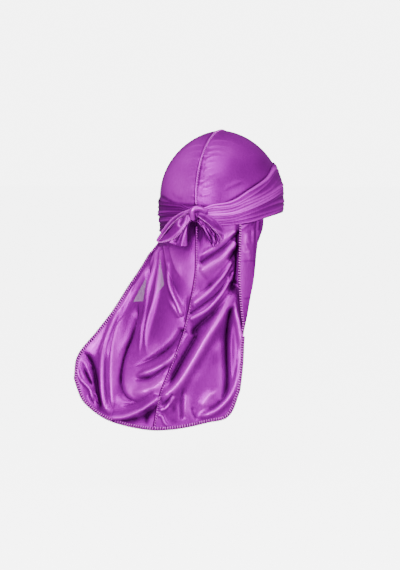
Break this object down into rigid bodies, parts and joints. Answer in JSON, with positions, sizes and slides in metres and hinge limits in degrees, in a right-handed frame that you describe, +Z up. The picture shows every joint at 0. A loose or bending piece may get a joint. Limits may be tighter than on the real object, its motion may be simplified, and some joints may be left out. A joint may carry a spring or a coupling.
{
  "type": "durag",
  "caption": "Satin durag in worn form: seamed crown, wide loose tail with one edge turned back, pleated wrap tied at the back in a bow.",
  "frame": {"origin": "inner top of the crown, where the top of a head touches it", "axes": "+Z up, the forehead faces -Y, the wearer's left is +X and the tail hangs at +Y"},
  "size_m": [0.2386, 0.2525, 0.3881],
  "materials": {
    "satin": "purple satin with a soft lavender sheen",
    "satin_seam": "overlocked satin seam, slightly duller"
  },
  "bodies": {
    "root": {"panel_left": "satin", "panel_right": "satin", "crown_seam": "satin_seam", "tail_seam": "satin_seam", "wrap_left": "satin", "wrap_right": "satin", "bow_loop_left": "satin", "bow_loop_right": "satin", "tie_end_left": "satin", "tie_end_right": "satin", "knot": "satin"}
  },
  "joints": []
}
